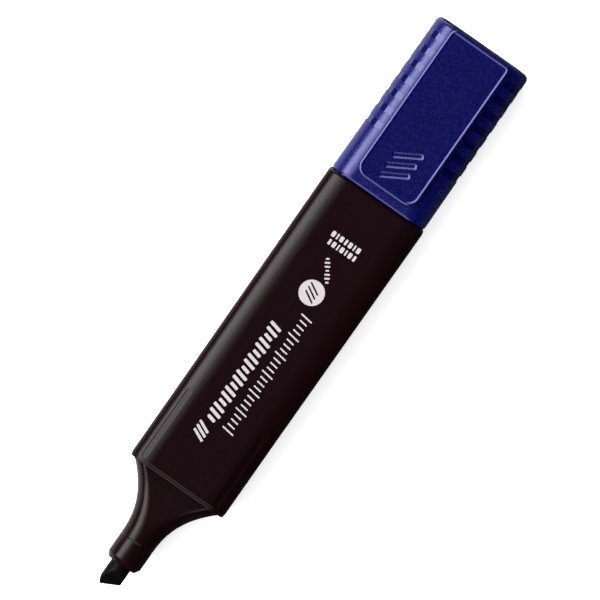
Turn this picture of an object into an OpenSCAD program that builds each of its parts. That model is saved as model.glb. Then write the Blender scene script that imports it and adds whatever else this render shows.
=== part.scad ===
// Flat chisel-tip highlighter, lying on its back with its cap pushed on the rear end.
// +X runs from the nib to the cap's closed end, +Z points out of the face with the clip.
// The origin is under the middle of the pen, on the surface that it lies on. Millimetres.

/* [Barrel] */
// Width of the barrel
barrel_w = 25.8; // [25.4:0.1:26.4]
// Depth of the barrel, back to front
barrel_d = 15.6; // [15.2:0.1:16.4]
// Length of the barrel between its two rims
barrel_l = 79.6; // [74:0.1:86]
// Wall of the barrel
barrel_wall = 1.3; // [1.2:0.1:1.4]
// Width of the level part of the front and of the back
face_flat = 14; // [13:0.5:15]
// Radius of the shoulders beside the level part
shoulder_r = 9; // [8.5:0.5:10]
// Radius of the long corners, between a shoulder and a side
corner_r = 2; // [1.8:0.1:2.2]
// Length of the oval grip recess in each front shoulder
grip_l = 19; // [12:1:24]
// Width of the grip recess
grip_w = 1.6; // [1.2:0.1:2]
// Depth of the grip recess
grip_depth = 0.3; // [0.2:0.05:0.4]

/* [Nose] */
// Length of the flared nose in front of the barrel
nose_l = 16.05; // [15:0.05:17]
// Width of the nose where it meets the barrel
nose_w = 23.6; // [22.8:0.1:23.8]
// Depth of the nose where it meets the barrel
nose_d = 11.2; // [10.8:0.1:11.4]
// Radius of the nose's corners where it meets the barrel
nose_corner_r = 3.5; // [3:0.1:4]
// Exponent of the flare seen from the front: a larger one keeps the nose slim for longer
flare_power = 2.35; // [2:0.05:2.8]
// Length of the tongue that holds the nose in the barrel
nose_tongue_l = 7; // [6:0.5:8]

/* [Nib and its holder] */
// Diameter of the neck that the cap's seal closes on
neck_dia = 8.6; // [8.5:0.1:8.7]
// Length of the holder in front of the nose
neck_l = 6.15; // [5.5:0.05:7]
// Length of the bevel at the holder's front edge
neck_bevel_l = 1.25; // [0.8:0.05:1.5]
// Height of the bevel at the holder's front edge
neck_bevel_h = 0.7; // [0.4:0.05:0.8]
// Length of the holder's spigot inside the nose
holder_spigot_l = 8; // [6:0.5:9]
// Diameter of the holder's spigot
holder_spigot_dia = 6.8; // [6.6:0.1:7]
// Diameter of the nib
nib_dia = 5.1; // [4.9:0.1:5.2]
// Length of nib that stands out of the holder
nib_reach = 6.05; // [5.5:0.05:6.5]
// Whole length of the nib, from its tip into the reservoir
nib_l = 42; // [41:0.5:43]
// Slant of the writing edge
nib_slant = 27.7; // [20:0.1:32]
// Angle of each bevel to the nib's middle plane
nib_bevel = 34; // [32:1:38]
// Thickness of the writing edge
nib_edge = 0.6; // [0.4:0.1:0.8]

/* [Reservoir] */
// Width of the fibre core
core_w = 20.4; // [19.5:0.1:20.6]
// Depth of the fibre core
core_d = 11.4; // [11:0.1:11.6]
// Length of the fibre core
core_l = 61; // [58:0.5:61]
// Thickness of the film around the core
film_t = 0.25; // [0.2:0.05:0.3]

/* [Rear plug] */
// Length of the plug inside the barrel
plug_l = 6; // [5.5:0.5:6.5]
// Length of the stub that the cap is pushed on to
stub_l = 6.5; // [5:0.5:7]
// Width of the stub
stub_w = 22.5; // [22:0.1:22.6]
// Depth of the stub
stub_d = 11.2; // [10.8:0.1:11.3]
// Wall of the plug
plug_wall = 1.2; // [1:0.1:1.4]

/* [Cap] */
// Width of the cap over its ribs
cap_w = 25.2; // [25:0.1:25.3]
// Depth of the cap without its clip
cap_d = 15; // [14.9:0.1:15.2]
// Length of the cap
cap_l = 41.9; // [41.7:0.1:43]
// Thickness of the cap's closed end
cap_end_wall = 1.4; // [1.2:0.1:1.6]
// Number of recesses in each ribbed side
recess_count = 7; // [5:1:7]
// Distance from one recess to the next
recess_pitch = 4.02; // [3.8:0.01:4.1]
// Width of one recess
recess_w = 1.7; // [1.4:0.1:2]
// Distance from the cap's rim to the middle of the first recess
recess_start = 13.9; // [13:0.1:14]
// Outer diameter of the seal tube inside the cap
seal_dia = 11; // [10.8:0.1:11]
// Depth of the seal tube's mouth, from the cap's rim
seal_depth = 15.4; // [14.8:0.1:16]

/* [Clip] */
// Width of the clip
clip_w = 16; // [15:0.5:16]
// Length of the clip
clip_l = 39.2; // [38:0.1:39.5]
// Thickness of the clip's plate
clip_t = 1.25; // [1.1:0.05:1.3]
// Radius of the corners at the clip's free end
clip_corner_r = 2.8; // [2:0.1:3]
// Width of the lip around the clip's field
clip_lip = 0.8; // [0.6:0.1:1]
// Depth of the field below the lip
clip_field_depth = 0.25; // [0.15:0.05:0.3]
// Length of the root that joins the clip to the cap's end
clip_root_l = 6.4; // [5.5:0.1:7]

/* [Fits] */
// Gap on each side of pieces that are pressed together
press_gap = 0.05; // [0.02:0.01:0.06]
// Gap on each side between the stub and the cap
cap_gap = 0.08; // [0.06:0.01:0.1]
// Gap between the barrel's rear rim and the cap's rim
rim_gap = 0.25; // [0.2:0.05:0.3]

/* [Hidden] */
$fn = 64;
eps = 0.01;
// Cutters run past what they cut by this much
over = 1;

// Stations along the pen, from the nib's tip to the cap's closed end
pen_l = nib_reach + neck_l + nose_l + barrel_l + rim_gap + cap_l;
tip_x = -pen_l / 2;
neck_x = tip_x + nib_reach;
seam_x = neck_x + neck_l;
front_x = seam_x + nose_l;
rear_x = front_x + barrel_l;
rim_x = rear_x + rim_gap;
end_x = rim_x + cap_l;
mid_z = barrel_d / 2;

// Barrel bore and the pieces pressed into it
bore_w = barrel_w - 2 * barrel_wall;
bore_d = barrel_d - 2 * barrel_wall;
bore_r = 3;
front_edge_r = 0.6;
rear_corner_r = 1.3;
rear_edge_r = 0.7;
grip_from_rim = 1.2;
grip_y = 9.95;
keeper_w = 1;
keeper_l = 50;
keeper_root = 0.1;

// Nose: its rings run from the neck's circle to a rounded rectangle
depth_power = 2;
ring_count = 16;
arc_steps = 8;
round_share = 0.985;
nose_bore_dia = 6;
nose_hollow_w = 18.5;
nose_hollow_d = 8.8;
nose_hollow_r = 2;
nose_hollow_from = front_x - 1.15;

// Nib
nib_corner_y = 1.66;
nib_corner_l = 2.3;
// The long corner's knee, as shares of its length and of its rise
nib_knee = [0.4, 0.75];

// Reservoir
core_x = front_x + 9.05;
core_r = 5;
film_w = core_w + 2 * (film_t + press_gap);
film_d = core_d + 2 * (film_t + press_gap);
film_r = core_r + film_t + press_gap;

// Plug
stub_r = 2.6;
fin_t = 1.2;
fin_y = 6;

// Cap: the clip lies in a shallow channel in the front
cavity_w = stub_w + 2 * cap_gap;
cavity_d = stub_d + 2 * cap_gap;
cavity_r = stub_r + cap_gap;
cap_shoulder_r = 6.5;
cap_side_r = 4.3;
cap_corner_r = 1.3;
cap_end_edge_r = 1;
cap_rim_edge_r = 0.3;
cap_flat = face_flat - 0.2;
channel_depth = 0.9;
channel_w = clip_w + 0.7;
channel_floor = cap_d / 2 - channel_depth;
channel_from_clip = 1.5;
rib_zone_y = channel_w / 2 + 0.2;
// The recesses' floor: how far its knees lie inside the cap's side and front
floor_knees = [[0.2, 4.77], [1.25, 2.52], [2.45, 1.32]];
floor_top = 0.2;
floor_overlap = 0.5;
seal_bore_dia = 8.9;
seal_lip_dia = neck_dia + 0.06;
seal_lip_l = 1.5;
seal_flange_t = 1.2;

// Clip
clip_from_end = 0.2;
clip_end_x = end_x - clip_from_end;
clip_x = clip_end_x - clip_l;
clip_lift = 0.25;
clip_bottom = cap_d / 2 + clip_lift;
clip_root_gap = 0.05;
clip_root_r = 0.5;
foot_l = 1.5;
foot_gap = 0.2;
foot_inset = 1;
foot_x = clip_x + 4;
mark_count = 3;
mark_from = 6;
mark_pitch = 2.1;
mark_w = 0.9;
mark_l = 5.6;
mark_slant = 30;
mark_depth = 0.15;

// Points on an arc, without the first one when skip is 1
function arc(centre, r, from, to, steps, skip = 0) =
    [for (i = [skip:steps])
        let (a = from + (to - from) * i / steps)
        [centre[0] + r * cos(a), centre[1] + r * sin(a)]];

// A quarter outline mirrored into all four quarters, in order round the section
function four_quarters(q) =
    let (last = len(q) - 1)
    concat(
        q,
        [for (i = [last:-1:0]) [-q[i][0], q[i][1]]],
        [for (i = [0:last]) [-q[i][0], -q[i][1]]],
        [for (i = [last:-1:0]) [q[i][0], -q[i][1]]]
    );

// The pen's section: level faces, wide shoulders, smaller corners and upright sides
function pen_outline(w, d, flat, wide_r, small_r) =
    let (
        across = w / 2 - small_r - flat / 2,
        corner_z = d / 2 - wide_r + sqrt(pow(wide_r - small_r, 2) - pow(across, 2)),
        meet = 90 - asin(across / (wide_r - small_r))
    )
    four_quarters(concat(
        arc([w / 2 - small_r, corner_z], small_r, 0, meet, 5),
        arc([flat / 2, d / 2 - wide_r], wide_r, meet, 90, 6, 1)
    ));

// One ring of the nose, at a share t of the way from the neck to the barrel
function nose_ring(t) =
    let (
        neck_r = neck_dia / 2,
        half_w = neck_r + (nose_w / 2 - neck_r) * pow(t, flare_power),
        half_d = neck_r + (nose_d / 2 - neck_r) * pow(t, depth_power),
        r = round_share * (neck_r + (nose_corner_r - neck_r) * t)
    )
    [for (p = four_quarters(arc([half_w - r, half_d - r], r, 0, 90, arc_steps)))
        [seam_x + nose_l * t, p[0], mid_z + p[1]]];

// Carries a drawing of the YZ section along X
module along_x(x, l) {
    translate([x, 0, mid_z]) rotate([90, 0, 90]) linear_extrude(l) children();
}

// A rectangle with four round corners, about the origin
module rounded_rect(w, d, r) {
    square([w - 2 * r, d], center = true);
    square([w, d - 2 * r], center = true);
    for (x = [-1, 1], y = [-1, 1]) {
        translate([x * (w / 2 - r), y * (d / 2 - r)]) circle(r);
    }
}

// A rectangle from x0 to x1 whose corners have one radius at each end
module end_rounded(x0, x1, w, r0, r1) {
    translate([x0 + r0, -w / 2]) square([x1 - x0 - r0 - r1, w]);
    translate([x0, r0 - w / 2]) square([r0 + eps, w - 2 * r0]);
    translate([x1 - r1 - eps, r1 - w / 2]) square([r1 + eps, w - 2 * r1]);
    for (side = [-1, 1]) {
        translate([x0 + r0, side * (w / 2 - r0)]) circle(r0);
        translate([x1 - r1, side * (w / 2 - r1)]) circle(r1);
    }
}

// Rounds a bar's ends as seen from the front and as seen from the side
module round_ends(x0, x1, w, d, front_r, side_r) {
    intersection() {
        children();
        linear_extrude(2 * barrel_d) end_rounded(x0, x1, w, front_r[0], front_r[1]);
        translate([0, 0, mid_z]) rotate([90, 0, 0])
            linear_extrude(2 * barrel_w, center = true)
                end_rounded(x0, x1, d, side_r[0], side_r[1]);
    }
}

// A round bar or tube's solid along X, about the pen's middle line
module rod_x(x, l, r) {
    translate([x, 0, mid_z]) rotate([0, 90, 0]) cylinder(h = l, r = r);
}

module grip_recess(side) {
    tilt = asin((grip_y - face_flat / 2) / shoulder_r);
    surface_z = mid_z + barrel_d / 2 - shoulder_r * (1 - cos(tilt));
    start = front_x + grip_from_rim;
    translate([0, side * grip_y, surface_z]) rotate([-side * tilt, 0, 0])
        translate([0, 0, -grip_depth]) linear_extrude(over)
            end_rounded(start, start + grip_l, grip_w, grip_w / 2 - eps, grip_w / 2 - eps);
}

module barrel_shell() {
    color("#1b0c10") {
        difference() {
            round_ends(front_x, rear_x, barrel_w, barrel_d,
                       [front_edge_r, rear_corner_r], [front_edge_r, rear_edge_r])
                along_x(front_x, barrel_l)
                    polygon(pen_outline(barrel_w, barrel_d, face_flat, shoulder_r, corner_r));
            along_x(front_x - over, barrel_l + 2 * over) rounded_rect(bore_w, bore_d, bore_r);
            for (side = [-1, 1]) grip_recess(side);
        }
        keeper_ribs();
    }
}

// Two long ribs inside the barrel keep the reservoir in the middle
module keeper_ribs() {
    keeper_h = (bore_w - film_w) / 2 - press_gap;
    for (side = [-1, 1]) {
        translate([core_x + (core_l - keeper_l) / 2,
                   side * (bore_w / 2 - keeper_h / 2 + keeper_root) - keeper_h / 2 - keeper_root,
                   mid_z - keeper_w / 2])
            cube([keeper_l, keeper_h + 2 * keeper_root, keeper_w]);
    }
}

module nose_flare() {
    rings = [for (i = [0:ring_count]) nose_ring(i / ring_count)];
    n = len(rings[0]);
    points = [for (ring = rings) each ring];
    sides = [
        for (i = [0:ring_count - 1], j = [0:n - 1])
            let (k = (j + 1) % n)
            [i * n + j, (i + 1) * n + j, (i + 1) * n + k, i * n + k]
    ];
    first = [for (j = [0:n - 1]) j];
    last = [for (j = [n - 1:-1:0]) ring_count * n + j];
    polyhedron(points, concat(sides, [first, last]), convexity = 4);
}

module nose_section() {
    color("#1b0c10") difference() {
        union() {
            nose_flare();
            along_x(front_x, nose_tongue_l)
                rounded_rect(bore_w - 2 * press_gap, bore_d - 2 * press_gap, bore_r - press_gap);
        }
        rod_x(seam_x - over, over + holder_spigot_l + 2 * press_gap,
              holder_spigot_dia / 2 + press_gap);
        rod_x(seam_x, nose_l, nose_bore_dia / 2);
        along_x(nose_hollow_from, 2 * nose_tongue_l)
            rounded_rect(nose_hollow_w, nose_hollow_d, nose_hollow_r);
    }
}

module nib_holder() {
    r = neck_dia / 2;
    color("#1b0c10") difference() {
        translate([neck_x, 0, mid_z]) rotate([0, 90, 0]) rotate_extrude() polygon([
            [0, 0],
            [r - neck_bevel_h, 0],
            [r, neck_bevel_l],
            [r, neck_l],
            [holder_spigot_dia / 2, neck_l],
            [holder_spigot_dia / 2, neck_l + holder_spigot_l],
            [0, neck_l + holder_spigot_l]
        ]);
        rod_x(neck_x - over, neck_l + holder_spigot_l + 2 * over, nib_dia / 2 + press_gap);
    }
}

// The nib is a felt rod, cut to a wedge whose edge slants across it
module chisel_nib() {
    r = nib_dia / 2;
    far_y = -r;
    far_x = (nib_corner_y - far_y) * tan(nib_slant);
    wedge_l = (2 * r - nib_edge / 2) / tan(nib_bevel);
    color("#0b080a") intersection() {
        rod_x(tip_x, nib_l, r);
        translate([tip_x, 0, 0]) linear_extrude(2 * barrel_d) polygon([
            [0, nib_corner_y],
            [far_x, far_y],
            [nib_l, far_y],
            [nib_l, r],
            [nib_corner_l, r],
            [nib_corner_l * nib_knee[0], nib_corner_y + (r - nib_corner_y) * nib_knee[1]]
        ]);
        translate([tip_x, nib_corner_y, mid_z]) rotate([0, 0, -nib_slant]) rotate([90, 0, 0])
            linear_extrude(2 * nib_l, center = true) polygon([
                [0, -nib_edge / 2],
                [wedge_l, -2 * r],
                [2 * nib_l, -2 * r],
                [2 * nib_l, 2 * r],
                [wedge_l, 2 * r],
                [0, nib_edge / 2]
            ]);
    }
}

module ink_reservoir() {
    color("#26262e") difference() {
        along_x(core_x, core_l) rounded_rect(core_w, core_d, core_r);
        rod_x(core_x - over, over + tip_x + nib_l - core_x + press_gap, nib_dia / 2 + press_gap);
    }
}

module reservoir_film() {
    color("#cfd4dc") difference() {
        along_x(core_x, core_l) rounded_rect(film_w, film_d, film_r);
        along_x(core_x - over, core_l + 2 * over)
            rounded_rect(core_w + 2 * press_gap, core_d + 2 * press_gap, core_r + press_gap);
    }
}

// The plug closes the barrel, holds the reservoir with two fins, and carries the cap
module rear_plug() {
    plug_x = rear_x - plug_l;
    color("#1b0c10") {
        difference() {
            union() {
                along_x(plug_x, plug_l)
                    rounded_rect(bore_w - 2 * press_gap, bore_d - 2 * press_gap, bore_r - press_gap);
                along_x(rear_x, stub_l) rounded_rect(stub_w, stub_d, stub_r);
            }
            along_x(plug_x - over, over + plug_l + stub_l - plug_wall)
                rounded_rect(stub_w - 2 * plug_wall, stub_d - 2 * plug_wall, stub_r - plug_wall);
        }
        for (side = [-1, 1]) plug_fin(side);
    }
}

module plug_fin(side) {
    fin_x = core_x + core_l + press_gap;
    fin_h = stub_d - 2 * plug_wall + 4 * press_gap;
    translate([fin_x, side * fin_y - fin_t / 2, mid_z - fin_h / 2])
        cube([rear_x + stub_l - plug_wall / 2 - fin_x, fin_t, fin_h]);
}

// Floor of the ribbed sides' recesses: flats at several angles inside the cap's section
module recess_floor() {
    polygon(four_quarters(concat(
        [for (knee = floor_knees) [cap_w / 2 - knee[0], cap_d / 2 - knee[1]]],
        [[rib_zone_y - floor_overlap, cap_d / 2 - floor_top]]
    )));
}

module recess_cut(i) {
    x = rim_x + recess_start + i * recess_pitch - recess_w / 2;
    difference() {
        for (side = [-1, 1]) {
            translate([x, side * (rib_zone_y + cap_w / 2) - cap_w / 2, -over])
                cube([recess_w, cap_w, 2 * barrel_d]);
        }
        along_x(x - over, recess_w + 2 * over) recess_floor();
    }
}

module cap_shell() {
    color("#10124e") difference() {
        round_ends(rim_x, end_x, cap_w, cap_d,
                   [cap_rim_edge_r, cap_corner_r], [cap_rim_edge_r, cap_end_edge_r])
            along_x(rim_x, cap_l)
                polygon(pen_outline(cap_w, cap_d, cap_flat, cap_shoulder_r, cap_side_r));
        along_x(rim_x - over, over + cap_l - cap_end_wall) rounded_rect(cavity_w, cavity_d, cavity_r);
        translate([clip_x + channel_from_clip, -channel_w / 2, mid_z + channel_floor])
            cube([cap_l, channel_w, channel_depth + over]);
        for (i = [0:recess_count - 1]) recess_cut(i);
    }
}

// A cup on a flange: its lip closes on the neck when the cap is over the nib
module cap_seal() {
    flange_x = end_x - cap_end_wall - seal_flange_t;
    tube_x = rim_x + seal_depth;
    color("#1b1d5c") difference() {
        union() {
            rod_x(tube_x, flange_x - tube_x + eps, seal_dia / 2);
            along_x(flange_x, seal_flange_t)
                rounded_rect(cavity_w - 2 * press_gap, cavity_d - 2 * press_gap,
                             cavity_r - press_gap);
        }
        rod_x(tube_x - over, over + seal_lip_l + eps, seal_lip_dia / 2);
        rod_x(tube_x + seal_lip_l, flange_x - tube_x - seal_lip_l, seal_bore_dia / 2);
    }
}

// Three slanted strokes sunk into the field near the free end
module clip_mark() {
    for (i = [0:mark_count - 1]) {
        translate([clip_x + mark_from + i * mark_pitch, 0]) rotate(mark_slant)
            square([mark_w, mark_l], center = true);
    }
}

module pocket_clip() {
    top = mid_z + clip_bottom + clip_t;
    color("#10124e") difference() {
        union() {
            translate([0, 0, mid_z + clip_bottom]) linear_extrude(clip_t)
                end_rounded(clip_x, clip_end_x, clip_w, clip_corner_r, clip_root_r);
            translate([clip_end_x - clip_root_l, -clip_w / 2, mid_z + channel_floor + clip_root_gap])
                cube([clip_root_l, clip_w, clip_bottom - channel_floor]);
            translate([foot_x, foot_inset - clip_w / 2, mid_z + channel_floor + foot_gap])
                cube([foot_l, clip_w - 2 * foot_inset, clip_bottom - channel_floor]);
        }
        translate([0, 0, top - clip_field_depth]) linear_extrude(clip_t)
            end_rounded(clip_x + clip_lip, clip_end_x - clip_lip, clip_w - 2 * clip_lip,
                        clip_corner_r - clip_lip, clip_root_r);
        translate([0, 0, top - clip_field_depth - mark_depth]) linear_extrude(clip_t) clip_mark();
    }
}

barrel_shell();
nose_section();
nib_holder();
chisel_nib();
ink_reservoir();
reservoir_film();
rear_plug();
cap_shell();
cap_seal();
pocket_clip();
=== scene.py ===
"""Flat chisel-tip highlighter: the looks of its pieces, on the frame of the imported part."""

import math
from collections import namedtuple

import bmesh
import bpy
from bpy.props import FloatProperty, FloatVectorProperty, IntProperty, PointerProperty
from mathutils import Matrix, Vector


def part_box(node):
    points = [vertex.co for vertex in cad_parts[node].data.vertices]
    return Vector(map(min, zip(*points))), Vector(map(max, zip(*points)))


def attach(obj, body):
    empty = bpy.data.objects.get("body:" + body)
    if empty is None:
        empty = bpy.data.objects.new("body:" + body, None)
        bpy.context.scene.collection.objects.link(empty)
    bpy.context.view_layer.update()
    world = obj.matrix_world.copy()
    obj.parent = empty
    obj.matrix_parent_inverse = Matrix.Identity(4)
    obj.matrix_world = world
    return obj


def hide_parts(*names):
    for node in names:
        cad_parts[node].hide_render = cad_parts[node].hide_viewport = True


bl_info = {
    "name": "Flat highlighter",
    "version": (1, 0, 0),
    "blender": (4, 5, 0),
    "location": "3D View > Sidebar > Highlighter",
    "description": "Builds a flat highlighter's barrel, nose, nib, cap and clip with their finishes",
    "category": "Object",
}

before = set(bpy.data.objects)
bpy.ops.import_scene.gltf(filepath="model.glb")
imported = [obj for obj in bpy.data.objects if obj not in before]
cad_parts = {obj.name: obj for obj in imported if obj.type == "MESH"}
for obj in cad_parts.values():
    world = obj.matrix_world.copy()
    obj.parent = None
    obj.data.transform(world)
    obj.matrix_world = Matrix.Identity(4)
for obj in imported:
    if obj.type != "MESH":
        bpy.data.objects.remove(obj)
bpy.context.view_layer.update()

MM = 0.001
QUARTER = math.pi / 2

# Where the CAD pieces are: each name holds a node's lowest and highest corners.
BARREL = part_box("barrel_shell")
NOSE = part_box("nose_section")
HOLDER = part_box("nib_holder")
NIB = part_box("chisel_nib")
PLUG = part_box("rear_plug")
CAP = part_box("cap_shell")
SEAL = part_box("cap_seal")
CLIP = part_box("pocket_clip")
MID_Z = (BARREL[0].z + BARREL[1].z) / 2


def linear(code):
    """Turns an sRGB hex colour into linear red, green, blue and alpha."""
    parts = [int(code[i:i + 2], 16) / 255 for i in (1, 3, 5)]
    return [p / 12.92 if p <= 0.04045 else ((p + 0.055) / 1.055) ** 2.4 for p in parts] + [1.0]


def length(label, about, millimetres):
    """A length setting, with its default given in millimetres."""
    return FloatProperty(name=label, description=about, default=millimetres * MM, unit="LENGTH",
                         precision=5)


def colour(label, about, code):
    """A colour setting, with its default given as an sRGB hex value."""
    return FloatVectorProperty(name=label, description=about, default=linear(code), size=4,
                               subtype="COLOR", min=0, max=1)


# ---------------------------------------------------------------- settings


class BarrelSettings(bpy.types.PropertyGroup):
    shoulder_across: length("Shoulder across", "Width of a rounded shoulder, seen from the front", 5.85)
    shoulder_down: length("Shoulder down", "Drop of a rounded shoulder, seen from the end", 3.2)
    wall: length("Wall", "Thickness of the barrel's wall", 1.3)
    bore_corner: length("Bore corner", "Corner radius of the bore", 3.0)
    taper: length("Taper", "How far each side draws in at the front and out at the rear", 0.1)
    rim_band: length("Rim band", "Width of the band behind the front rim", 0.7)
    rim_step: length("Rim step", "Height of the slope on each side of that band", 0.1)
    front_edge: length("Front edge", "Rounding of the front rim", 0.15)
    rear_edge: length("Rear edge", "Rounding of the rear rim", 1.0)
    grip_width: length("Grip width", "Width of the oval recess in each shoulder", 1.6)
    grip_length: length("Grip length", "Length of the oval recess in each shoulder", 19.0)
    grip_depth: length("Grip depth", "Depth of the oval recess in each shoulder", 0.3)
    tint: colour("Barrel colour", "Colour of the barrel's polypropylene", "#100407")


class NoseSettings(bpy.types.PropertyGroup):
    base_width: length("Base width", "Width of the nose at the barrel", 23.6)
    base_depth: length("Base depth", "Depth of the nose at the barrel", 11.2)
    base_corner: length("Base corner", "Corner radius of the nose at the barrel", 3.5)
    bore: length("Bore", "Radius of the bore behind the holder", 3.0)
    flare: FloatProperty(name="Flare", description="Exponent of the flare, seen from the front",
                         default=2.35, min=1.5, max=3.5)
    seam: length("Seam", "Length of the slope on each side of the ring seam", 0.22)
    spigot: length("Spigot", "Radius of the holder's spigot inside the nose", 3.4)
    bevel: length("Holder bevel", "Radius drop of the rounded edge round the holder's mouth", 0.7)
    bevel_length: length("Holder bevel length", "Length of that rounded edge", 1.25)


class NibSettings(bpy.types.PropertyGroup):
    slant: FloatProperty(name="Slant", description="Slant of the writing edge", subtype="ANGLE",
                         default=math.radians(27.7))
    wedge: FloatProperty(name="Wedge", description="Angle of each bevel to the nib's middle plane",
                         subtype="ANGLE", default=math.radians(34))
    edge: length("Edge", "Thickness of the writing edge", 0.6)
    point: length("Point", "How far the sharp point stands out before its edges are rounded", 0.3)
    tint: colour("Nib colour", "Colour of the inked felt", "#030203")


class CapSettings(bpy.types.PropertyGroup):
    shoulder_across: length("Shoulder across", "Width of a rounded shoulder, seen from the front", 5.5)
    shoulder_down: length("Shoulder down", "Drop of a rounded shoulder, seen from the end", 5.3)
    flare: length("Flare", "How far each side draws out at the rim, and half its drawing in at the end", 0.07)
    wall: length("Wall", "Thickness of the cap's side wall", 1.27)
    end_wall: length("End wall", "Thickness of the cap's closed end", 1.4)
    rim_edge: length("Rim edge", "Rounding of the cap's rim", 0.15)
    rim_bead: length("Rim slope", "Height of the slope that leads up from the rim's rounding", 0.14)
    end_edge: length("End edge", "Rounding of the closed end", 1.2)
    recesses: IntProperty(name="Recesses", description="Recesses in each ribbed side", default=7,
                          min=1, max=7)
    pitch: length("Pitch", "Distance from one recess to the next", 4.02)
    recess_width: length("Recess width", "Width of one recess", 1.7)
    recess_start: length("First recess", "Distance from the rim to the first recess's middle", 13.9)
    softening: length("Softening", "Rounding of the ribs' edges", 0.15)
    tint: colour("Cap colour", "Colour of the cap's polypropylene", "#050648")
    sheen: colour("Cap sheen", "Colour that the cap's gloss leans to", "#c4c6ff")


class ClipSettings(bpy.types.PropertyGroup):
    thickness: length("Thickness", "Thickness of the clip's plate", 1.25)
    corner: length("Corner", "Corner radius at the free end", 2.8)
    lip: length("Lip", "Width of the bead round the field", 0.8)
    field_depth: length("Field depth", "Depth of the field below the bead", 0.16)
    root: length("Root", "Length of the root at the cap's end", 6.4)
    mark_place: length("Mark place", "Distance from the free end to the middle stroke", 6.8)
    mark_pitch: length("Mark pitch", "Distance from one stroke to the next", 2.7)
    mark_width: length("Mark width", "Width of a stroke", 1.5)
    mark_length: length("Mark length", "Length of a stroke", 7.4)
    mark_depth: length("Mark depth", "Depth of the strokes below the field", 0.2)
    mark_slope: length("Mark slope", "Width of the slope round each stroke's floor", 0.45)


class PrintSettings(bpy.types.PropertyGroup):
    thickness: length("Ink thickness", "Height of the printed ink", 0.02)
    tint: colour("Ink colour", "Colour of the printed ink", "#aea9ab")


class StageSettings(bpy.types.PropertyGroup):
    floor_size: FloatProperty(name="Floor size", description="Width of the floor", default=24.0,
                              unit="LENGTH")
    tint: colour("Floor colour", "Colour of the floor", "#fafafa")
    lean_along: FloatProperty(name="Lean along", subtype="ANGLE", default=math.radians(3.4),
                              description="Camera's lean towards the cap's end")
    lean_across: FloatProperty(name="Lean across", subtype="ANGLE", default=math.radians(0.2),
                               description="Camera's lean towards the left shoulder")
    roll: FloatProperty(name="Roll", subtype="ANGLE", default=math.radians(55.0),
                        description="Angle of the pen above the picture's horizontal")
    frame_width: length("Frame width", "Width that the picture spans at the pen", 136.4)
    lens: FloatProperty(name="Lens", description="Focal length in millimetres", default=1000)


class HighlighterSettings(bpy.types.PropertyGroup):
    barrel: PointerProperty(type=BarrelSettings)
    nose: PointerProperty(type=NoseSettings)
    nib: PointerProperty(type=NibSettings)
    cap: PointerProperty(type=CapSettings)
    clip: PointerProperty(type=ClipSettings)
    ink: PointerProperty(type=PrintSettings)
    stage: PointerProperty(type=StageSettings)


# ---------------------------------------------------------------- modelling helpers

# A ring's place along the pen, and its section: corner centres and corner radii in Y and Z
Ring = namedtuple("Ring", "x cy cz ry rz")


def section_ring(x, half_width, half_depth, across, down):
    """A ring whose corners are quarter ovals, given the section's half sizes."""
    return Ring(x, half_width - across, half_depth - down, across, down)


def round_ring(x, radius):
    """A plain circle about the pen's middle line."""
    return Ring(x, 0.0, 0.0, radius, radius)


def inset_ring(ring, x, inset):
    """The same ring, moved to x and pulled in all round."""
    return Ring(x, ring.cy, ring.cz, ring.ry - inset, ring.rz - inset)


def rounded_edge(ring, face_x, radius, steps=8):
    """Rings that round the edge between an end face at face_x and the wall, face first."""
    towards = 1 if ring.x > face_x else -1
    turns = [QUARTER * i / steps for i in range(steps + 1)]
    return [inset_ring(ring, face_x + towards * radius * (1 - math.cos(a)), radius * (1 - math.sin(a)))
            for a in turns]


def deselect_objects():
    """Leaves nothing selected, in object mode."""
    if bpy.context.object and bpy.context.object.mode != "OBJECT":
        bpy.ops.object.mode_set(mode="OBJECT")
    bpy.ops.object.select_all(action="DESELECT")


def select_only(piece):
    """Makes one object the active and only selected one."""
    deselect_objects()
    piece.select_set(True)
    bpy.context.view_layer.objects.active = piece


def edit(piece, kind="VERT"):
    """Opens a piece in edit mode with nothing selected."""
    select_only(piece)
    bpy.ops.object.mode_set(mode="EDIT")
    bpy.ops.mesh.select_mode(type=kind)
    bpy.ops.mesh.select_all(action="DESELECT")
    return bmesh.from_edit_mesh(piece.data)


def close_edit():
    """Returns to object mode."""
    bpy.ops.object.mode_set(mode="OBJECT")


def pick(piece, parts, test):
    """Selects the vertices, edges or faces that pass the test, and nothing else."""
    mesh = bmesh.from_edit_mesh(piece.data)
    for part in (mesh.verts, mesh.edges, mesh.faces):
        for item in part:
            item.select = False
    chosen = [item for item in getattr(mesh, parts) if test(item)]
    for item in chosen:
        item.select_set(True)
    mesh.select_flush_mode()
    bmesh.update_edit_mesh(piece.data)
    return chosen


def bevel_edges(piece, test, radius, segments, **options):
    """Rounds the edges that pass the test."""
    edit(piece, "EDGE")
    pick(piece, "edges", test)
    bpy.ops.mesh.bevel(offset=radius, segments=segments, affect="EDGES", **options)
    close_edit()


def middle(item):
    """The middle of an edge or a face."""
    return sum((v.co for v in item.verts), Vector()) / len(item.verts)


def span(edge):
    """How far an edge reaches along X, Y and Z."""
    return Vector([abs(part) for part in edge.verts[0].co - edge.verts[1].co])


def name_piece(name):
    """Names the active object and its mesh, and moves its place into the mesh."""
    piece = bpy.context.object
    piece.name = name
    piece.data.name = name
    bpy.ops.object.transform_apply(location=True, rotation=True, scale=True)
    return piece


def add_box(name, low, high):
    """A box between two corners."""
    deselect_objects()
    size = [b - a for a, b in zip(low, high)]
    centre = [(a + b) / 2 for a, b in zip(low, high)]
    bpy.ops.mesh.primitive_cube_add(size=1, location=centre, scale=size)
    return name_piece(name)


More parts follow.
